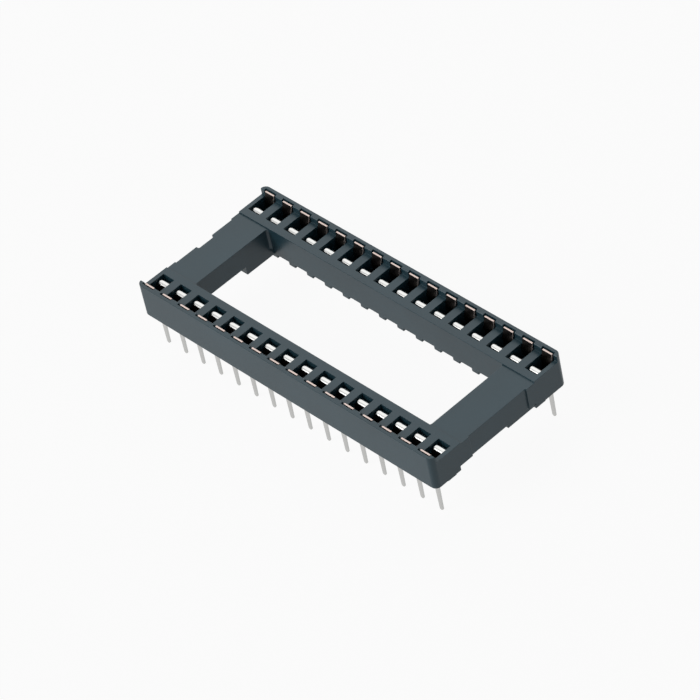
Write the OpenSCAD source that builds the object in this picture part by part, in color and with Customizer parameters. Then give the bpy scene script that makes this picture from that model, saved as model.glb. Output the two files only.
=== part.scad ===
// Open-frame socket for a wide dual in-line chip, with stamped spring contacts.
// X runs along the two contact rows and Z points up, away from the circuit board.
// The origin is the middle of the footprint, on the board surface that the pads stand on.

/* [Rows] */
// Contacts in each of the two rows
contacts_per_row = 16; // [8:1:20]
// Distance from one contact to the next along a row
pitch = 2.54; // [2.4:0.01:2.8]
// Distance between the two rows of tails
row_spacing = 15.24; // [13:0.02:18]
// Thickness of a chip leg
leg_t = 0.25; // [0.2:0.01:0.3]

/* [Housing heights] */
// Top of the outer rim above the board
rim_z = 5; // [4.9:0.05:5.6]
// Top of the ribs and the inner ledge that the chip lies on
deck_z = 4.25; // [4.15:0.05:4.4]
// How far the cross bars lie below that deck
bar_step = 0.15; // [0.05:0.05:0.5]
// Underside of the rails
rail_z = 1.1; // [0.9:0.05:1.3]
// How far the inner wall hangs below the underside of the rails
skirt_drop = 0.17; // [0.05:0.01:0.3]
// Thickness of the floor under each contact
floor_t = 0.7; // [0.5:0.05:0.9]
// Thickness of the cross bars
bar_t = 2.5; // [1.8:0.05:2.8]
// How far the thick half of a cross bar hangs below its thin half
block_drop = 1; // [0.5:0.05:1.4]

/* [Housing plan] */
// Outer rim, measured across its thickness
rim_t = 0.64; // [0.5:0.02:0.9]
// Chamfer along the rim's inner top edge
rim_lead = 0.1; // [0.05:0.01:0.12]
// Ledge between the window and the contact cavities
ledge_t = 0.85; // [0.6:0.05:1.2]
// Rib between two contact cavities
rib_t = 0.98; // [0.8:0.02:1.1]
// From the row line to the inner end of a cavity
cavity_in = 1.87; // [1.75:0.01:2.2]
// From the row line to the outer end of a cavity
cavity_out = 0.48; // [0.44:0.01:0.54]
// Width of the cross bars, along X
bar_w = 4.08; // [3:0.02:5]
// How far the ends of the cross bars lie behind the ends of the rails
end_step = 0.15; // [0.05:0.01:0.3]
// Half width of the sunk middle part of each end
end_step_y = 3.8; // [2.5:0.1:4.2]
// Radius of the four outer corners
corner_r = 0.64; // [0.4:0.02:1.4]
// Radius of the window's inner corners
window_r = 0.3; // [0.1:0.05:0.6]

/* [Underside] */
// Width of a standoff pad where it meets the rail
pad_w = 0.98; // [0.7:0.02:1.2]
// How much narrower the foot of a pad is
pad_taper = 0.1; // [0.02:0.02:0.2]
// Length of a pad across the rail
pad_l = 1.3; // [0.9:0.05:1.5]
// How far the pads stand back from the window
pad_inset = 0.35; // [0.2:0.05:0.5]
// Where the thick half of a cross bar starts, from the middle
block_y = 1.4; // [0.6:0.1:3]
// Length of the thick half of a cross bar, along X
block_w = 3.42; // [2:0.02:3.6]
// How far the thin half of a cross bar reaches under the rail beside it
relief_y = 0.55; // [0.2:0.05:0.7]
// How far the rail beside the thick half reaches in under the cross bar
foot_reach = 0.18; // [0.05:0.01:0.4]

/* [Orientation notch] */
// Width of the notch in the edge of one cross bar
notch_w = 2.1; // [1:0.1:3]
// Depth of the notch
notch_d = 0.35; // [0.2:0.05:1]
// Radius of the corners at the foot of the notch
notch_r = 0.15; // [0.05:0.05:0.2]

/* [Contact] */
// Thickness of the strip that the contacts are stamped from
strip_t = 0.2; // [0.18:0.01:0.25]
// Centreline radius of the bends
bend_r = 0.2; // [0.16:0.01:0.24]
// How far the top of the outer leaf lies below the rim
leaf_drop = 0.1; // [0.02:0.02:0.2]
// How far the top of the outer leaf leans out from the row line
mouth_out = 0.53; // [0.48:0.01:0.58]
// Lean of the outer leaf's top, in degrees
leaf_lean = 17; // [14:1:20]
// How much closer together than a chip leg's faces the two leaves stand
squeeze = 0.06; // [0.02:0.01:0.1]
// Height of the inner leaf's grip above the cavity floor
inner_grip_h = 0.85; // [0.75:0.05:1]
// How far the outer leaf's foot stands back from its grip
outer_bow = 0.1; // [0.02:0.02:0.16]
// Centreline radius of the loop that springs the inner leaf
loop_r = 0.39; // [0.34:0.01:0.42]
// From the row line to the middle of the loop
loop_in = 1.22; // [1.16:0.01:1.26]
// How far the crest of the loop lies below the deck
loop_drop = 0.25; // [0.1:0.01:0.4]
// How far the inner leaf's tip reaches below its grip
tip_h = 0.45; // [0.3:0.05:0.45]
// How far the inner leaf's tip curls back from the chip leg
tip_back = 0.25; // [0.15:0.05:0.4]

/* [Tail] */
// Length of a tail below the board surface
tail_l = 3.1; // [2.5:0.1:4]
// Width of a tail where it leaves its shoulder
tail_w = 0.58; // [0.45:0.01:0.65]
// Width of a tail just above its tip
tip_w = 0.44; // [0.3:0.01:0.44]
// Width of the shoulder above the board
shoulder_w = 0.95; // [0.8:0.05:1.1]
// Height of the shoulder's foot above the board
shoulder_z = 0.25; // [0.1:0.05:0.5]

/* [Clearances] */
// Between a contact's side edges and the ribs
leaf_gap = 0.155; // [0.1:0.005:0.2]
// Between the back of the outer leaf and the rim
back_gap = 0.14; // [0.05:0.01:0.16]
// Round a tail's shoulder in its slot
slot_gap = 0.03; // [0.02:0.01:0.05]

/* [Hidden] */
$fn = 48;
bend_steps = 8;
loop_steps = 2 * bend_steps;
contact_count = 2 * contacts_per_row;

frame_l = contacts_per_row * pitch;
row_y = row_spacing / 2;
window_y = row_y - cavity_in - ledge_t;
frame_y = row_y + cavity_out + rim_t;
window_x = frame_l / 2 - bar_w;
bar_z = deck_z - bar_step;
floor_z = rail_z + floor_t;
cavity_w = pitch - rib_t;

leaf_w = cavity_w - 2 * leaf_gap;
grip_u = (leg_t - squeeze + strip_t) / 2;
base_z = floor_z + strip_t / 2;
leaf_z = rim_z - leaf_drop;
outer_grip_z = leaf_z - (mouth_out - grip_u) / tan(leaf_lean);
leaf_back = mouth_out + strip_t / 2 / cos(leaf_lean) + back_gap;
recess_z = leaf_z - (leaf_back - cavity_out) / tan(leaf_lean);

// Points on the stamping's centreline, as distances out from the row line and heights
leaf_top = [mouth_out + strip_t * tan(leaf_lean), leaf_z + strip_t];
outer_grip = [grip_u, outer_grip_z];
outer_foot = [grip_u + outer_bow, base_z];
inner_foot = [-loop_in - loop_r, base_z];
loop_middle = [-loop_in, deck_z - loop_drop - strip_t / 2 - loop_r];
inner_grip = [-grip_u, floor_z + inner_grip_h];
inner_tip = inner_grip - [tip_back, tip_h];

contact_names = [for (i = [1 : contact_count]) str("contact_", i < 10 ? "0" : "", i)];

function direction(a, b) = (b - a) / norm(b - a);
function direction_at(angle) = [cos(angle), sin(angle)];
function turned(v, angle) = [v.x * cos(angle) - v.y * sin(angle), v.x * sin(angle) + v.y * cos(angle)];

// Points of the arc that rounds the corner b between a and c
function bend(a, b, c, r) =
    let (
        before = direction(a, b),
        after = direction(b, c),
        turn = acos(before * after) * sign(cross(before, after)),
        start = b - before * r * tan(abs(turn) / 2),
        centre = start + turned(before, 90) * r * sign(turn)
    )
    [for (i = [0 : bend_steps]) centre + turned(start - centre, turn * i / bend_steps)];

// The corners joined by straight stretches and bends
function bent(corners, r) = [
    corners[0],
    for (i = [1 : len(corners) - 2]) each bend(corners[i - 1], corners[i], corners[i + 1], r),
    corners[len(corners) - 1]
];

// Points of the loop, from its upright side over the crest to where it leaves for the point p
function loop(middle, r, p) =
    let (
        away = p - middle,
        leave = atan2(away.y, away.x) + acos(r / norm(away))
    )
    [for (i = [0 : loop_steps]) middle + r * direction_at(180 + (leave - 180) * i / loop_steps)];

// A copy of the line moved sideways by d
function beside(line, d) = [
    for (i = [0 : len(line) - 1])
        line[i] + d * turned(direction(line[max(i - 1, 0)], line[min(i + 1, len(line) - 1)]), 90)
];
function reversed(line) = [for (i = [len(line) - 1 : -1 : 0]) line[i]];

// Place of contact i: rows run 1 to n in front and n + 1 to 2n back again
function place(i) = i <= contacts_per_row ? i - 1 : contact_count - i;
function contact_x(i) = (place(i) - (contacts_per_row - 1) / 2) * pitch;

// The stamping's centreline, from the top of the outer leaf to the tip of the inner one
function contact_line() =
    let (
        over = loop(loop_middle, loop_r, inner_grip),
        before = bent([leaf_top, outer_grip, outer_foot, inner_foot, over[0]], bend_r),
        after = bent([over[loop_steps], inner_grip, inner_tip], bend_r)
    )
    concat(before, [for (i = [1 : loop_steps - 1]) over[i]], after);

// The stamping's side outline
module strip_outline() {
    line = contact_line();
    polygon(concat(beside(line, strip_t / 2), reversed(beside(line, -strip_t / 2))));
}

// Turns an outline of distance from the row line and height into a solid of width w
module across_row(w) {
    rotate([90, 0, 90])
        linear_extrude(w, center = true)
            children();
}

module rounded_plan(l, w, r) {
    square([l - 2 * r, w], center = true);
    square([l, w - 2 * r], center = true);
    for (x = [-1, 1], y = [-1, 1])
        translate([x * (l / 2 - r), y * (w / 2 - r)])
            circle(r);
}

// One half of the part, or both by a half turn about Z
module both_sides() {
    for (angle = [0, 180])
        rotate(angle)
            children();
}

module at_each_contact() {
    both_sides()
        for (i = [1 : contacts_per_row])
            translate([contact_x(i), row_y, 0])
                children();
}

// Plan of the whole frame: round outer corners and a shallow step in each end
module frame_plan() {
    difference() {
        rounded_plan(frame_l, 2 * frame_y, corner_r);
        both_sides()
            translate([frame_l / 2 - end_step, -end_step_y])
                square([2 * end_step, 2 * end_step_y]);
    }
}

// Plan of the two rails, without the cross bars
module rail_plan() {
    intersection() {
        frame_plan();
        both_sides()
            translate([-frame_l / 2, window_y])
                square([frame_l, frame_y]);
    }
}

// Plan of the two cross bars
module bar_plan() {
    difference() {
        intersection() {
            frame_plan();
            square([frame_l, 2 * window_y + ledge_t], center = true);
        }
        rounded_plan(2 * window_x, 2 * window_y, window_r);
        notch_plan();
    }
}

module notch_plan() {
    depth = end_step + notch_d;
    translate([-frame_l / 2, 0])
        rounded_plan(2 * depth, notch_w, notch_r);
}

module rails() {
    translate([0, 0, rail_z])
        linear_extrude(deck_z - rail_z)
            rail_plan();
    translate([0, 0, rail_z])
        linear_extrude(rim_z - rail_z)
            difference() {
                rail_plan();
                square([2 * frame_l, 2 * (row_y + cavity_out)], center = true);
            }
    both_sides()
        translate([-window_x, window_y, rail_z - skirt_drop])
            cube([2 * window_x, ledge_t / 2, floor_t]);
}

// Cutter for the chamfer that leads a chip's legs in past the rim
module rim_leads() {
    both_sides()
        translate([0, row_y + cavity_out, rim_z])
            rotate([90, 0, 90])
                linear_extrude(2 * frame_l, center = true)
                    polygon([
                        [-rim_lead, -2 * rim_lead],
                        [2 * rim_lead, rim_lead],
                        [-rim_lead, rim_lead]
                    ]);
}

module cross_bars() {
    translate([0, 0, bar_z - bar_t])
        linear_extrude(bar_t)
            bar_plan();
    for (x = [window_x, -window_x - block_w])
        translate([x, block_y, bar_z - bar_t - block_drop])
            cube([block_w, window_y + ledge_t / 2 - block_y, bar_t]);
    for (x = [window_x, -frame_l / 2])
        translate([x, window_y - foot_reach, rail_z])
            cube([bar_w, foot_reach + ledge_t / 2, bar_t]);
}

// Pads that hold the rails off the board, so solder can flow and be washed clean
module pads() {
    pad_y = window_y + pad_inset - row_y;
    at_each_contact()
        translate([0, pad_y + pad_l, 0])
            rotate([90, 0, 0])
                linear_extrude(pad_l)
                    polygon([
                        [-(pad_w - pad_taper) / 2, 0],
                        [(pad_w - pad_taper) / 2, 0],
                        [pad_w / 2, floor_z - floor_t / 2],
                        [-pad_w / 2, floor_z - floor_t / 2]
                    ]);
}

// Space for one contact: cavity, recess behind the outer leaf and slot for the tail
module contact_space() {
    translate([-cavity_w / 2, -cavity_in, floor_z])
        cube([cavity_w, cavity_in + cavity_out, rim_z]);
    translate([-cavity_w / 2, 0, recess_z])
        cube([cavity_w, leaf_back, rim_z]);
    translate([-shoulder_w / 2 - slot_gap, -strip_t / 2 - slot_gap, 0])
        cube([shoulder_w + 2 * slot_gap, strip_t + 2 * slot_gap, rim_z]);
}

// The thin half of each cross bar carries on a little way under the front rail
module rail_relief() {
    for (x = [window_x, -frame_l / 2 - end_step])
        translate([x, -window_y - relief_y, 0])
            cube([bar_w + end_step, relief_y + window_y + block_y, bar_z - bar_t]);
}

module housing() {
    color("#3f474d")
        difference() {
            union() {
                rails();
                cross_bars();
                pads();
            }
            at_each_contact()
                contact_space();
            rail_relief();
            rim_leads();
        }
}

// Outer leaf, base, loop and inner leaf: one bent strip, cut level at the top
module leaves() {
    intersection() {
        across_row(leaf_w)
            strip_outline();
        linear_extrude(leaf_z)
            square([frame_l, 2 * row_y], center = true);
    }
}

// Shoulder and tail, standing in the row line below the base
module tail() {
    tip_r = tip_w / 2;
    rotate([90, 0, 0])
        linear_extrude(strip_t, center = true) {
            polygon([
                [-shoulder_w / 2, base_z],
                [-shoulder_w / 2, shoulder_z],
                [-tail_w / 2, 0],
                [-tip_r, tip_r - tail_l],
                [tip_r, tip_r - tail_l],
                [tail_w / 2, 0],
                [shoulder_w / 2, shoulder_z],
                [shoulder_w / 2, base_z]
            ]);
            translate([0, tip_r - tail_l])
                circle(tip_r);
        }
}

module contact(i) {
    color("#c9c6c2")
        rotate(i <= contacts_per_row ? 180 : 0)
            translate([i <= contacts_per_row ? -contact_x(i) : contact_x(i), row_y, 0]) {
                leaves();
                tail();
            }
}

housing();
for (i = [1 : contact_count]) {
    contact(i);
}
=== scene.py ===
import math

import bmesh
import bpy
from mathutils import Matrix, Vector


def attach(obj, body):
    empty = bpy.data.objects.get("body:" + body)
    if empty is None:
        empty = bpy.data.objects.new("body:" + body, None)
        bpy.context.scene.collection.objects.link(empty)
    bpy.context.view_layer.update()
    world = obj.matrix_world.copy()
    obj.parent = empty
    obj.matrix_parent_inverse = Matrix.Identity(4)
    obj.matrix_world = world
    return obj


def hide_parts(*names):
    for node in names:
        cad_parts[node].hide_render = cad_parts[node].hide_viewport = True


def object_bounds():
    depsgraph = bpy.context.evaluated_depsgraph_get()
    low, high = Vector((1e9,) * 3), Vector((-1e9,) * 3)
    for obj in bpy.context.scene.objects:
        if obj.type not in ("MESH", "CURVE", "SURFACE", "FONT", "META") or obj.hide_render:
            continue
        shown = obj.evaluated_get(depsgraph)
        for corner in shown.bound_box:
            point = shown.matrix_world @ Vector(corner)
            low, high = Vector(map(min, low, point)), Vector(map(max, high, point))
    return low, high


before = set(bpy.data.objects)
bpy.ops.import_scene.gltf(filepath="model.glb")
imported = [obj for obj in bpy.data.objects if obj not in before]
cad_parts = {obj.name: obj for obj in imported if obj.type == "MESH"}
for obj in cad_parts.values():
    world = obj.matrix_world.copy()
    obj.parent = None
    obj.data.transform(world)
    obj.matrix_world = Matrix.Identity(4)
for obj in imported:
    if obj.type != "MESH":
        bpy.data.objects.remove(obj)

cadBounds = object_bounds()
mm = 0.001  # in metres, the unit of the frame
white = (1, 1, 1, 1)
print("frame loaded:", len(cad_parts), "nodes")


# ---- small helpers

def linear(hexColour):
    channels = [int(hexColour[i:i + 2], 16) / 255 for i in (1, 3, 5)]
    curve = [c / 12.92 if c <= 0.04045 else ((c + 0.055) / 1.055) ** 2.4 for c in channels]
    return (*curve, 1)


def addNode(tree, kind, links=(), inputs=(), **settings):
    node = tree.nodes.new(kind)
    for name, value in settings.items():
        setattr(node, name, value)
    for socket, value in dict(inputs).items():
        node.inputs[socket].default_value = value
    for socket, source in dict(links).items():
        tree.links.new(source, node.inputs[socket])
    return node


def perMillimetre(size):
    return 1 / (size * mm)  # Object coordinates are in metres


def newMaterial(name):
    material = bpy.data.materials.new(name)
    material.use_nodes = True
    material.node_tree.nodes.clear()
    return material, material.node_tree


def selectOnly(piece):
    bpy.ops.object.select_all(action="DESELECT")
    piece.select_set(True)
    bpy.context.view_layer.objects.active = piece


# ---- materials

pbt = {
    "colour": "#25434e",        # black with a blue-grey pigment
    "cloudColour": "#2b4b57",   # slightly paler where the melt flowed last
    "cloudSize": 6.0,           # mm, flow clouds along the rails
    "cloudEdges": (0.35, 0.7),  # where in the noise one colour ends and the other begins
    "grainSize": 0.16,          # mm, spark-eroded mould skin, coarser than real so that it shows
    "grainDepth": 0.006,        # mm
    "grainStrength": 0.35,
    "roughness": (0.3, 0.38),
    "ior": 1.46,
}


def makeMouldedPbt():
    # Glass-filled PBT moulded against an eroded steel skin: satin, faintly clouded, no sharp mirror
    material, tree = newMaterial("moulded glass-filled PBT")
    place = addNode(tree, "ShaderNodeTexCoord")
    clouds = addNode(tree, "ShaderNodeTexNoise", {"Vector": place.outputs["Object"]},
                     {"Scale": perMillimetre(pbt["cloudSize"]), "Detail": 3.0})
    grain = addNode(tree, "ShaderNodeTexNoise", {"Vector": place.outputs["Object"]},
                    {"Scale": perMillimetre(pbt["grainSize"]), "Detail": 2.0, "Roughness": 0.6})
    tint = addNode(tree, "ShaderNodeValToRGB", {"Fac": clouds.outputs["Fac"]})
    colours = (pbt["colour"], pbt["cloudColour"])
    for stop, position, colour in zip(tint.color_ramp.elements, pbt["cloudEdges"], colours):
        stop.position = position
        stop.color = linear(colour)
    low, high = pbt["roughness"]
    sheen = addNode(tree, "ShaderNodeMapRange", {"Value": grain.outputs["Fac"]},
                    {"To Min": low, "To Max": high})
    bump = addNode(tree, "ShaderNodeBump", {"Height": grain.outputs["Fac"]},
                   {"Strength": pbt["grainStrength"], "Distance": pbt["grainDepth"] * mm})
    surface = addNode(tree, "ShaderNodeBsdfPrincipled",
                      {"Base Color": tint.outputs["Color"], "Roughness": sheen.outputs["Result"],
                       "Normal": bump.outputs["Normal"]},
                      {"IOR": pbt["ior"]})
    addNode(tree, "ShaderNodeOutputMaterial", {"Surface": surface.outputs["BSDF"]})
    return material


tin = {
    "colour": "#c6c6c4",     # matte tin is a plain grey white metal
    "rollLength": 1.2,       # mm, rolling streaks run with the strip
    "rollWidth": 0.08,       # mm
    "roughness": (0.12, 0.2),
}


def makeTinPlate():
    # Tin plated on rolled strip: light grey and slightly milky, streaked along the rolling direction
    material, tree = newMaterial("matte tin plate")
    place = addNode(tree, "ShaderNodeTexCoord")
    across, along = perMillimetre(tin["rollWidth"]), perMillimetre(tin["rollLength"])
    stretch = addNode(tree, "ShaderNodeMapping", {"Vector": place.outputs["Object"]},
                      {"Scale": (across, along, along)})
    streaks = addNode(tree, "ShaderNodeTexNoise", {"Vector": stretch.outputs["Vector"]},
                      {"Scale": 1.0, "Detail": 2.0})
    low, high = tin["roughness"]
    sheen = addNode(tree, "ShaderNodeMapRange", {"Value": streaks.outputs["Fac"]},
                    {"To Min": low, "To Max": high})
    surface = addNode(tree, "ShaderNodeBsdfPrincipled", {"Roughness": sheen.outputs["Result"]},
                      {"Base Color": linear(tin["colour"]), "Metallic": 1.0})
    addNode(tree, "ShaderNodeOutputMaterial", {"Surface": surface.outputs["BSDF"]})
    return material


cavityShade = {
    "colour": "#363230",       # painted shade, the dark of the cavity laid on the plate as its colour
    "patchColour": "#282625",  # the darker patches of the painted shade, placed at random
    "patchSize": 0.35,         # mm
    "roughness": 0.3,
}


def makeShadedTinPlate():
    # The same plate inside the cavities, with painted shade: a dark grey-brown colour stands for the
    # dark that the cavity casts on it
    material, tree = newMaterial("tin plate in painted cavity shade")
    place = addNode(tree, "ShaderNodeTexCoord")
    patches = addNode(tree, "ShaderNodeTexNoise", {"Vector": place.outputs["Object"]},
                      {"Scale": perMillimetre(cavityShade["patchSize"]), "Detail": 2.0})
    tint = addNode(tree, "ShaderNodeValToRGB", {"Fac": patches.outputs["Fac"]})
    tint.color_ramp.elements[0].color = linear(cavityShade["patchColour"])
    tint.color_ramp.elements[1].color = linear(cavityShade["colour"])
    surface = addNode(tree, "ShaderNodeBsdfPrincipled", {"Base Color": tint.outputs["Color"]},
                      {"Metallic": 1.0, "Roughness": cavityShade["roughness"]})
    addNode(tree, "ShaderNodeOutputMaterial", {"Surface": surface.outputs["BSDF"]})
    return material


bronze = {
    "colour": "#c8b8b1",    # pale pink bronze, bare where the strip was cut after plating
    "cutSpacing": 0.05,     # mm, shear marks across the cut, coarser than real
    "roughness": (0.45, 0.6),
}


def makeShearedBronze():
    # Phosphor bronze laid bare by the punch: pinkish, with fine marks across the cut
    material, tree = newMaterial("sheared phosphor bronze")
    place = addNode(tree, "ShaderNodeTexCoord")
    marks = addNode(tree, "ShaderNodeTexNoise", {"Vector": place.outputs["Object"]},
                    {"Scale": perMillimetre(bronze["cutSpacing"]), "Detail": 1.0})
    low, high = bronze["roughness"]
    sheen = addNode(tree, "ShaderNodeMapRange", {"Value": marks.outputs["Fac"]},
                    {"To Min": low, "To Max": high})
    surface = addNode(tree, "ShaderNodeBsdfPrincipled", {"Roughness": sheen.outputs["Result"]},
                      {"Base Color": linear(bronze["colour"]), "Metallic": 1.0})
    addNode(tree, "ShaderNodeOutputMaterial", {"Surface": surface.outputs["BSDF"]})
    return material


mouldedPbt = makeMouldedPbt()
tinPlate = makeTinPlate()
shadedTinPlate = makeShadedTinPlate()
shearedBronze = makeShearedBronze()
print("materials made")


# ---- pieces

merging = {
    "distance": 0.001,  # mm, corners this near are one
    "flatAngle": 0.5,   # degrees, faces that turn less than this are one
}


def cleanCopy(nodeName, pieceName):
    # A merged copy of a CAD solid, worked on in millimetres, where the modelling tools are exact
    piece = bpy.data.objects.new(pieceName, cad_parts[nodeName].data.copy())
    bpy.context.scene.collection.objects.link(piece)
    piece.data.transform(Matrix.Scale(1 / mm, 4))
    piece.data.materials.clear()
    selectOnly(piece)
    bpy.ops.object.mode_set(mode="EDIT")
    bpy.ops.mesh.select_all(action="SELECT")
    bpy.ops.mesh.remove_doubles(threshold=merging["distance"])
    bpy.ops.mesh.dissolve_limited(angle_limit=math.radians(merging["flatAngle"]))
    bpy.ops.object.mode_set(mode="OBJECT")
    return piece


sliver = {
    "area": 0.03,  # square mm, a face smaller than this,
    "corner": 12,  # degrees, and with a narrower corner than this, keeps sharp edges
}


def weighEdges(piece, sharpAngle):
    # Sharp edges get weight 1, but not round a sliver, where a rounding would run far out of its tip
    shape = bmesh.new()
    shape.from_mesh(piece.data)
    weight = shape.edges.layers.float.new("bevel_weight_edge")
    for edge in shape.edges:
        edge[weight] = float(edge.calc_face_angle(0) > math.radians(sharpAngle))
    for face in shape.faces:
        narrowest = min(corner.calc_angle() for corner in face.loops)
        if face.calc_area() < sliver["area"] and narrowest < math.radians(sliver["corner"]):
            for edge in face.edges:
                edge[weight] = 0
    shape.to_mesh(piece.data)
    shape.free()


def softenEdges(piece, values):
    weighEdges(piece, values["sharpAngle"])
    bevel = piece.modifiers.new("softEdges", "BEVEL")
    bevel.width = values["edgeRadius"]
    bevel.segments = values["edgeSegments"]
    bevel.limit_method = "WEIGHT"
    bevel.use_clamp_overlap = False
    bevel.miter_outer = "MITER_ARC"
    selectOnly(piece)
    bpy.ops.object.modifier_apply(modifier=bevel.name)
    bpy.ops.object.shade_smooth_by_angle(angle=math.radians(values["sharpAngle"]))
    level = piece.modifiers.new("levelFaces", "WEIGHTED_NORMAL")  # keeps the flats flat to the eye
    level.keep_sharp = True
    bpy.ops.object.modifier_apply(modifier=level.name)


def finishCopy(piece, nodeName):
    piece.data.transform(Matrix.Scale(mm, 4))
    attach(piece, "root")
    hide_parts(nodeName)


housing = {
    "edgeRadius": 0.035,  # mm, the radius a mould leaves on its edges
    "edgeSegments": 2,
    "sharpAngle": 30,     # degrees, edges that turn more are rounded
}


def makeHousing():
    piece = cleanCopy("housing", "mouldedFrame")
    piece.data.materials.append(mouldedPbt)
    softenEdges(piece, housing)
    finishCopy(piece, "housing")


contact = {
    "edgeRadius": 0.05,  # mm, roll-over of the stamped edges
    "edgeSegments": 2,
    "sharpAngle": 40,    # degrees
    "floorLevel": 1.2,   # mm above the board, below it the tails are plain tin with no painted shade
    "topEdge": 0.12,     # mm below the top of a leaf, where its cut end shows bronze
    "sideTilt": 26,      # degrees off the row's direction, within which a face is a cut side
    "endTilt": 37,       # degrees off level, within which a face near the top is the cut end
    "crestAbove": 3.6,   # mm above the board, below it the loop gets painted shade
    "unshadedCrestTilt": 47,     # degrees off level, how far round the loop its crest keeps plain tin; beyond it the loop gets painted shade
}


contactMaterials = (tinPlate, shearedBronze, shadedTinPlate)


def contactFinishOrShade(face, top):
    def within(component, tilt):
        return component > math.cos(math.radians(contact[tilt]))

    height, upward = face.center.z, face.normal.z
    if height < contact["floorLevel"]:
        return tinPlate
    if within(abs(face.normal.x), "sideTilt"):
        return shearedBronze
    if height > top - contact["topEdge"] and within(upward, "endTilt"):
        return shearedBronze
    if height > contact["crestAbove"] and within(upward, "unshadedCrestTilt"):
        return tinPlate
    # Everything else above the tails gets the painted shade of the cavity
    return shadedTinPlate


def makeContact(nodeName):
    number = nodeName.split("_")[1]
    piece = cleanCopy(nodeName, "stampedContact_" + number)
    for material in contactMaterials:
        piece.data.materials.append(material)
    top = max(v.co.z for v in piece.data.vertices)
    for face in piece.data.polygons:
        face.material_index = contactMaterials.index(contactFinishOrShade(face, top))
    softenEdges(piece, contact)
    finishCopy(piece, nodeName)


makeHousing()
print("housing made")
for contactName in sorted(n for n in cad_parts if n.startswith("contact_")):
    makeContact(contactName)
print("contacts made")


# ---- stage, light and camera

stage = {
    "size": 3.0,            # m
    "colour": "#f4f4f4",
    "seenShare": 0.94,      # how much of the floor that the camera sees is plain background
    "mirroredShare": 0.8,   # and of the floor that shows in glossy surfaces
}


def backgroundShare(tree, camera, mirrored):
    # How much plain background a ray gets: nothing for the rays that carry diffuse light
    path = addNode(tree, "ShaderNodeLightPath")
    shiny = addNode(tree, "ShaderNodeMath", {0: path.outputs["Is Glossy Ray"],
                                             1: path.outputs["Is Transmission Ray"]},
                    operation="MAXIMUM")
    shinyPart = addNode(tree, "ShaderNodeMath", {0: shiny.outputs[0]}, {1: mirrored},
                        operation="MULTIPLY")
    return addNode(tree, "ShaderNodeMath", {0: path.outputs["Is Camera Ray"],
                                            2: shinyPart.outputs[0]}, {1: camera},
                   operation="MULTIPLY_ADD")


def makeFloor():
    material, tree = newMaterial("pale paper backdrop")
    paper = addNode(tree, "ShaderNodeBsdfDiffuse", inputs={"Color": linear(stage["colour"])})
    background = addNode(tree, "ShaderNodeEmission", inputs={"Strength": 1.0})
    share = backgroundShare(tree, stage["seenShare"], stage["mirroredShare"])
    mix = addNode(tree, "ShaderNodeMixShader", {0: share.outputs[0], 1: paper.outputs["BSDF"],
                                                2: background.outputs["Emission"]})
    addNode(tree, "ShaderNodeOutputMaterial", {"Surface": mix.outputs["Shader"]})
    bpy.ops.object.select_all(action="DESELECT")
    bpy.ops.mesh.primitive_plane_add(size=stage["size"], location=(0, 0, cadBounds[0].z))
    floor = bpy.context.object
    floor.name = "floor"
    floor.data.transform(Matrix.Translation(floor.location))
    floor.location = (0, 0, 0)
    floor.data.materials.append(material)


studio = {
    "skyLight": 0.1,
    "lamps": {  # places and sizes in m, powers in W
        "keySoftbox": {"from": (-0.3, -0.6, 0.5), "size": 0.5, "power": 2.4},
        "topSoftbox": {"from": (-0.48, 0.34, 0.54), "size": 0.8, "power": 1.26},
    },
}


def makeWorld():
    world = bpy.data.worlds.new("studio")
    bpy.context.scene.world = world
    world.use_nodes = True
    tree = world.node_tree
    tree.nodes.clear()
    soft = addNode(tree, "ShaderNodeBackground",
                   inputs={"Color": white, "Strength": studio["skyLight"]})
    plain = addNode(tree, "ShaderNodeBackground", inputs={"Color": white, "Strength": 1.0})
    seen = backgroundShare(tree, 1.0, 1.0)
    mix = addNode(tree, "ShaderNodeMixShader", {0: seen.outputs[0], 1: soft.outputs["Background"],
                                                2: plain.outputs["Background"]})
    addNode(tree, "ShaderNodeOutputWorld", {"Surface": mix.outputs["Shader"]})


def makeLamp(name, values):
    lamp = bpy.data.lights.new(name, "AREA")
    lamp.shape = "SQUARE"
    lamp.size = values["size"]
    lamp.energy = values["power"]
    holder = bpy.data.objects.new(name, lamp)
    bpy.context.scene.collection.objects.link(holder)
    holder.location = values["from"]
    holder.rotation_euler = (-Vector(values["from"])).to_track_quat("-Z", "Y").to_euler()


cameraSetup = {
    "location": (242.36, -173.66, 275.43),  # mm
    "angles": (46.6235, 9.3862, 45.6506),   # degrees, the camera is tipped a little to one side
    "lens": 218.016,                        # mm
    "sensor": 36,                           # mm wide
    "clip": (0.01, 10),                     # m
}


def makeCamera():
    camera = bpy.data.cameras.new("productCamera")
    camera.sensor_width = cameraSetup["sensor"]
    camera.lens = cameraSetup["lens"]
    camera.clip_start, camera.clip_end = cameraSetup["clip"]
    holder = bpy.data.objects.new("productCamera", camera)
    bpy.context.scene.collection.objects.link(holder)
    holder.location = Vector(cameraSetup["location"]) * mm
    holder.rotation_euler = [math.radians(a) for a in cameraSetup["angles"]]
    bpy.context.scene.camera = holder


makeFloor()
makeWorld()
for lampName, lampValues in studio["lamps"].items():
    makeLamp(lampName, lampValues)
makeCamera()
bpy.context.scene.view_settings.view_transform = "Standard"
print("stage, lamps and camera made")
